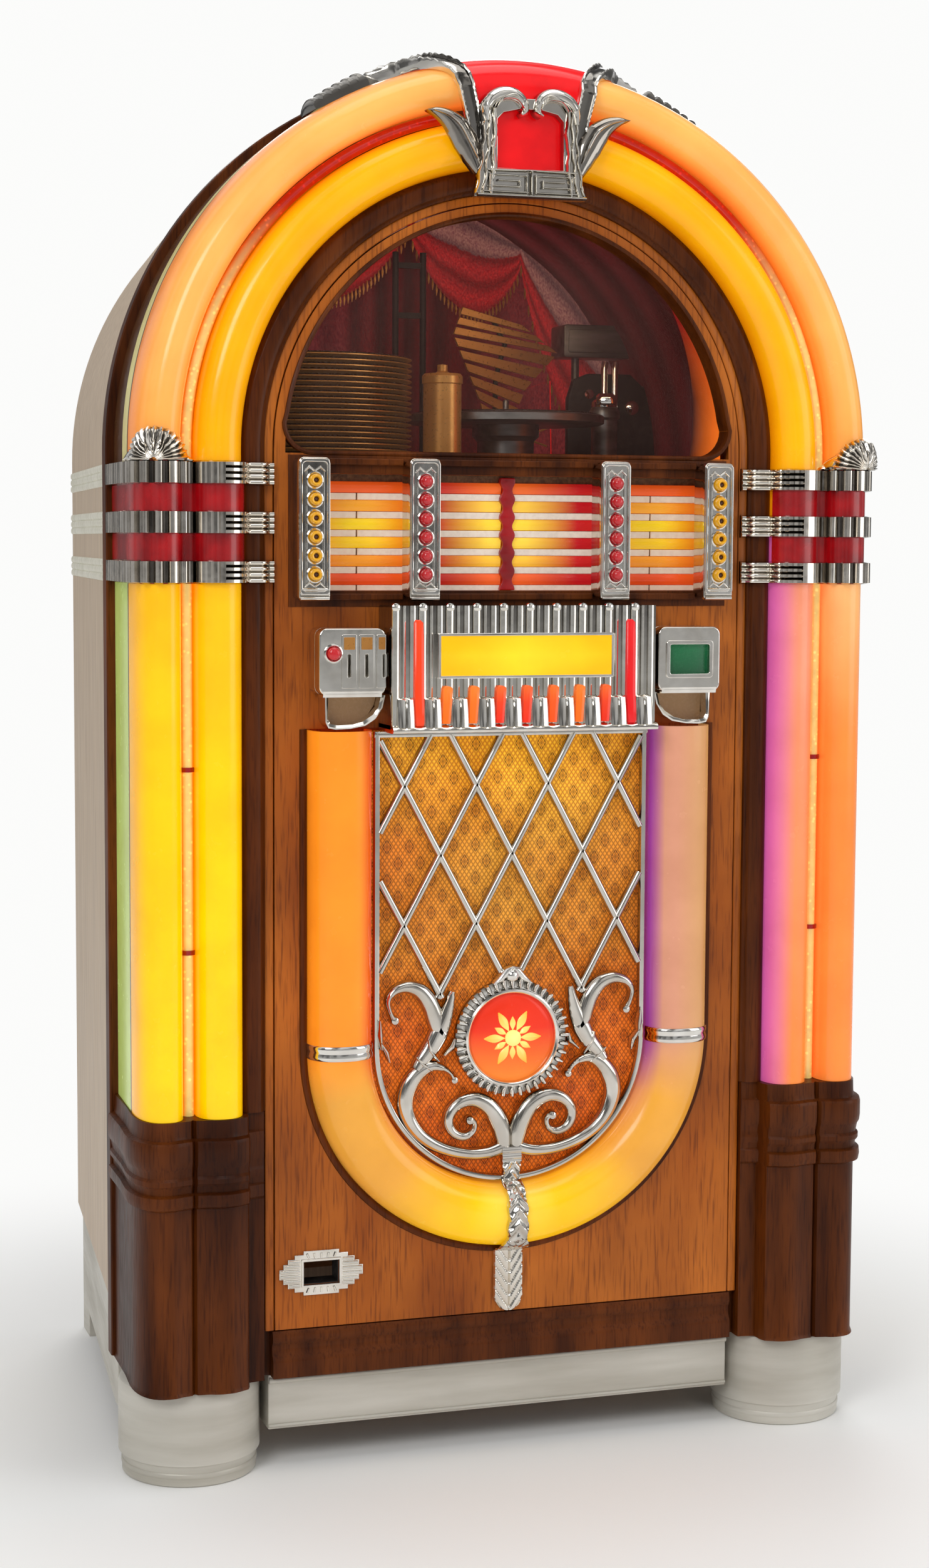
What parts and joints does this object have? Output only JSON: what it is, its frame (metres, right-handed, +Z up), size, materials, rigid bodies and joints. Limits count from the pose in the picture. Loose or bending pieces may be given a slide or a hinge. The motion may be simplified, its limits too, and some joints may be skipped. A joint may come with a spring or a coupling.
{
  "type": "jukebox",
  "caption": "Arched floor-standing coin-operated record player with lit plastic pilasters, domed window, push-button selector, chrome grille, hinged doors, platter and pickup arm.",
  "frame": {"origin": "centre of the bounding box at floor level, under the cabinet", "axes": "+X to the viewer's right, -Y out of the front, +Y to the back, +Z up"},
  "size_m": [0.854, 0.65, 1.5278],
  "materials": {
    "taupe_side": "satin streaked paint",
    "walnut": "stained and varnished",
    "light_walnut": "varnished veneer",
    "aluminium_base": "brushed",
    "chrome": "polished casting",
    "peach_plastic": "translucent, lit from behind",
    "amber_plastic": "translucent, lit from behind",
    "yellow_plastic": "translucent, lit from behind",
    "magenta_plastic": "translucent, lit from behind",
    "red_plastic": "gloss",
    "bubble_glass": "clear tube with liquid",
    "dome_glass": "clear",
    "cloth": "woven gold cloth on board",
    "black_disc": "grooved",
    "steel": "plated",
    "back_board": "pressed board",
    "speaker_black": "black"
  },
  "bodies": {
    "cabinet": {"cabinet_shell": "taupe_side", "front_frame": "walnut", "plinth": "aluminium_base", "foot_left": "aluminium_base", "foot_right": "aluminium_base", "pilaster_base_left": "walnut", "pilaster_base_right": "walnut", "pilaster_left": "yellow_plastic", "pilaster_right": "magenta_plastic", "arch_outer": "peach_plastic", "arch_inner": "amber_plastic", "bubble_tube_left": "bubble_glass", "bubble_tube_right": "bubble_glass", "shoulder_trim_left": "chrome", "shoulder_trim_right": "chrome", "crown_casting": "chrome", "crown_plastic": "red_plastic", "mechanism_frame": "steel", "record_stack": "black_disc", "amplifier": "steel", "cash_box": "steel"},
    "front_door": {"front_door": "light_walnut", "dome_glass": "dome_glass", "title_board": "peach_plastic", "selector_frame": "chrome", "grille_header": "chrome", "coin_entry": "chrome", "display_box": "chrome", "u_pilaster": "peach_plastic", "grille_cloth": "cloth", "grille_casting": "chrome", "speaker": "speaker_black"},
    "rear_door": {"rear_door": "back_board"},
    "pickup_arm": {"pickup_arm": "chrome"},
    "platter": {"platter": "steel"},
    "reject_button": {"reject_button": "red_plastic"},
    "selector_button_1_1": {"selector_button_1_1": "yellow_plastic"},
    "selector_button_1_2": {"selector_button_1_2": "yellow_plastic"},
    "selector_button_1_3": {"selector_button_1_3": "yellow_plastic"},
    "selector_button_1_4": {"selector_button_1_4": "yellow_plastic"},
    "selector_button_1_5": {"selector_button_1_5": "yellow_plastic"},
    "selector_button_1_6": {"selector_button_1_6": "yellow_plastic"},
    "selector_button_2_1": {"selector_button_2_1": "red_plastic"},
    "selector_button_2_2": {"selector_button_2_2": "red_plastic"},
    "selector_button_2_3": {"selector_button_2_3": "red_plastic"},
    "selector_button_2_4": {"selector_button_2_4": "red_plastic"},
    "selector_button_2_5": {"selector_button_2_5": "red_plastic"},
    "selector_button_2_6": {"selector_button_2_6": "red_plastic"},
    "selector_button_3_1": {"selector_button_3_1": "red_plastic"},
    "selector_button_3_2": {"selector_button_3_2": "red_plastic"},
    "selector_button_3_3": {"selector_button_3_3": "red_plastic"},
    "selector_button_3_4": {"selector_button_3_4": "red_plastic"},
    "selector_button_3_5": {"selector_button_3_5": "red_plastic"},
    "selector_button_3_6": {"selector_button_3_6": "red_plastic"},
    "selector_button_4_1": {"selector_button_4_1": "yellow_plastic"},
    "selector_button_4_2": {"selector_button_4_2": "yellow_plastic"},
    "selector_button_4_3": {"selector_button_4_3": "yellow_plastic"},
    "selector_button_4_4": {"selector_button_4_4": "yellow_plastic"},
    "selector_button_4_5": {"selector_button_4_5": "yellow_plastic"},
    "selector_button_4_6": {"selector_button_4_6": "yellow_plastic"}
  },
  "joints": [
    {"name": "front_door_hinge", "type": "hinge", "parent": "cabinet", "child": "front_door", "pos_m": [-0.26575, -0.265, 0.7], "axis": [0, 0, -1], "range_deg": [0, 75]},
    {"name": "rear_door_hinge", "type": "hinge", "parent": "cabinet", "child": "rear_door", "pos_m": [-0.33525, 0.325, 0.7], "axis": [0, 0, 1], "range_deg": [0, 110]},
    {"name": "pickup_arm_swing", "type": "hinge", "parent": "cabinet", "child": "pickup_arm", "pos_m": [0.235, 0.08, 1.18], "axis": [0, 0, -1], "range_deg": [0, 35]},
    {"name": "platter_spin", "type": "hinge", "parent": "cabinet", "child": "platter", "pos_m": [0.092, 0.035, 1.157], "axis": [0, 0, 1], "continuous": true},
    {"name": "reject_button_press", "type": "slide", "parent": "front_door", "child": "reject_button", "axis": [0, 1, 0], "range_m": [0, 0.004], "stiffness_N_per_m": 200},
    {"name": "selector_button_1_1_press", "type": "slide", "parent": "front_door", "child": "selector_button_1_1", "axis": [0, 1, 0], "range_m": [0, 0.004], "stiffness_N_per_m": 200},
    {"name": "selector_button_1_2_press", "type": "slide", "parent": "front_door", "child": "selector_button_1_2", "axis": [0, 1, 0], "range_m": [0, 0.004], "stiffness_N_per_m": 200},
    {"name": "selector_button_1_3_press", "type": "slide", "parent": "front_door", "child": "selector_button_1_3", "axis": [0, 1, 0], "range_m": [0, 0.004], "stiffness_N_per_m": 200},
    {"name": "selector_button_1_4_press", "type": "slide", "parent": "front_door", "child": "selector_button_1_4", "axis": [0, 1, 0], "range_m": [0, 0.004], "stiffness_N_per_m": 200},
    {"name": "selector_button_1_5_press", "type": "slide", "parent": "front_door", "child": "selector_button_1_5", "axis": [0, 1, 0], "range_m": [0, 0.004], "stiffness_N_per_m": 200},
    {"name": "selector_button_1_6_press", "type": "slide", "parent": "front_door", "child": "selector_button_1_6", "axis": [0, 1, 0], "range_m": [0, 0.004], "stiffness_N_per_m": 200},
    {"name": "selector_button_2_1_press", "type": "slide", "parent": "front_door", "child": "selector_button_2_1", "axis": [0, 1, 0], "range_m": [0, 0.004], "stiffness_N_per_m": 200},
    {"name": "selector_button_2_2_press", "type": "slide", "parent": "front_door", "child": "selector_button_2_2", "axis": [0, 1, 0], "range_m": [0, 0.004], "stiffness_N_per_m": 200},
    {"name": "selector_button_2_3_press", "type": "slide", "parent": "front_door", "child": "selector_button_2_3", "axis": [0, 1, 0], "range_m": [0, 0.004], "stiffness_N_per_m": 200},
    {"name": "selector_button_2_4_press", "type": "slide", "parent": "front_door", "child": "selector_button_2_4", "axis": [0, 1, 0], "range_m": [0, 0.004], "stiffness_N_per_m": 200},
    {"name": "selector_button_2_5_press", "type": "slide", "parent": "front_door", "child": "selector_button_2_5", "axis": [0, 1, 0], "range_m": [0, 0.004], "stiffness_N_per_m": 200},
    {"name": "selector_button_2_6_press", "type": "slide", "parent": "front_door", "child": "selector_button_2_6", "axis": [0, 1, 0], "range_m": [0, 0.004], "stiffness_N_per_m": 200},
    {"name": "selector_button_3_1_press", "type": "slide", "parent": "front_door", "child": "selector_button_3_1", "axis": [0, 1, 0], "range_m": [0, 0.004], "stiffness_N_per_m": 200},
    {"name": "selector_button_3_2_press", "type": "slide", "parent": "front_door", "child": "selector_button_3_2", "axis": [0, 1, 0], "range_m": [0, 0.004], "stiffness_N_per_m": 200},
    {"name": "selector_button_3_3_press", "type": "slide", "parent": "front_door", "child": "selector_button_3_3", "axis": [0, 1, 0], "range_m": [0, 0.004], "stiffness_N_per_m": 200},
    {"name": "selector_button_3_4_press", "type": "slide", "parent": "front_door", "child": "selector_button_3_4", "axis": [0, 1, 0], "range_m": [0, 0.004], "stiffness_N_per_m": 200},
    {"name": "selector_button_3_5_press", "type": "slide", "parent": "front_door", "child": "selector_button_3_5", "axis": [0, 1, 0], "range_m": [0, 0.004], "stiffness_N_per_m": 200},
    {"name": "selector_button_3_6_press", "type": "slide", "parent": "front_door", "child": "selector_button_3_6", "axis": [0, 1, 0], "range_m": [0, 0.004], "stiffness_N_per_m": 200},
    {"name": "selector_button_4_1_press", "type": "slide", "parent": "front_door", "child": "selector_button_4_1", "axis": [0, 1, 0], "range_m": [0, 0.004], "stiffness_N_per_m": 200},
    {"name": "selector_button_4_2_press", "type": "slide", "parent": "front_door", "child": "selector_button_4_2", "axis": [0, 1, 0], "range_m": [0, 0.004], "stiffness_N_per_m": 200},
    {"name": "selector_button_4_3_press", "type": "slide", "parent": "front_door", "child": "selector_button_4_3", "axis": [0, 1, 0], "range_m": [0, 0.004], "stiffness_N_per_m": 200},
    {"name": "selector_button_4_4_press", "type": "slide", "parent": "front_door", "child": "selector_button_4_4", "axis": [0, 1, 0], "range_m": [0, 0.004], "stiffness_N_per_m": 200},
    {"name": "selector_button_4_5_press", "type": "slide", "parent": "front_door", "child": "selector_button_4_5", "axis": [0, 1, 0], "range_m": [0, 0.004], "stiffness_N_per_m": 200},
    {"name": "selector_button_4_6_press", "type": "slide", "parent": "front_door", "child": "selector_button_4_6", "axis": [0, 1, 0], "range_m": [0, 0.004], "stiffness_N_per_m": 200}
  ]
}
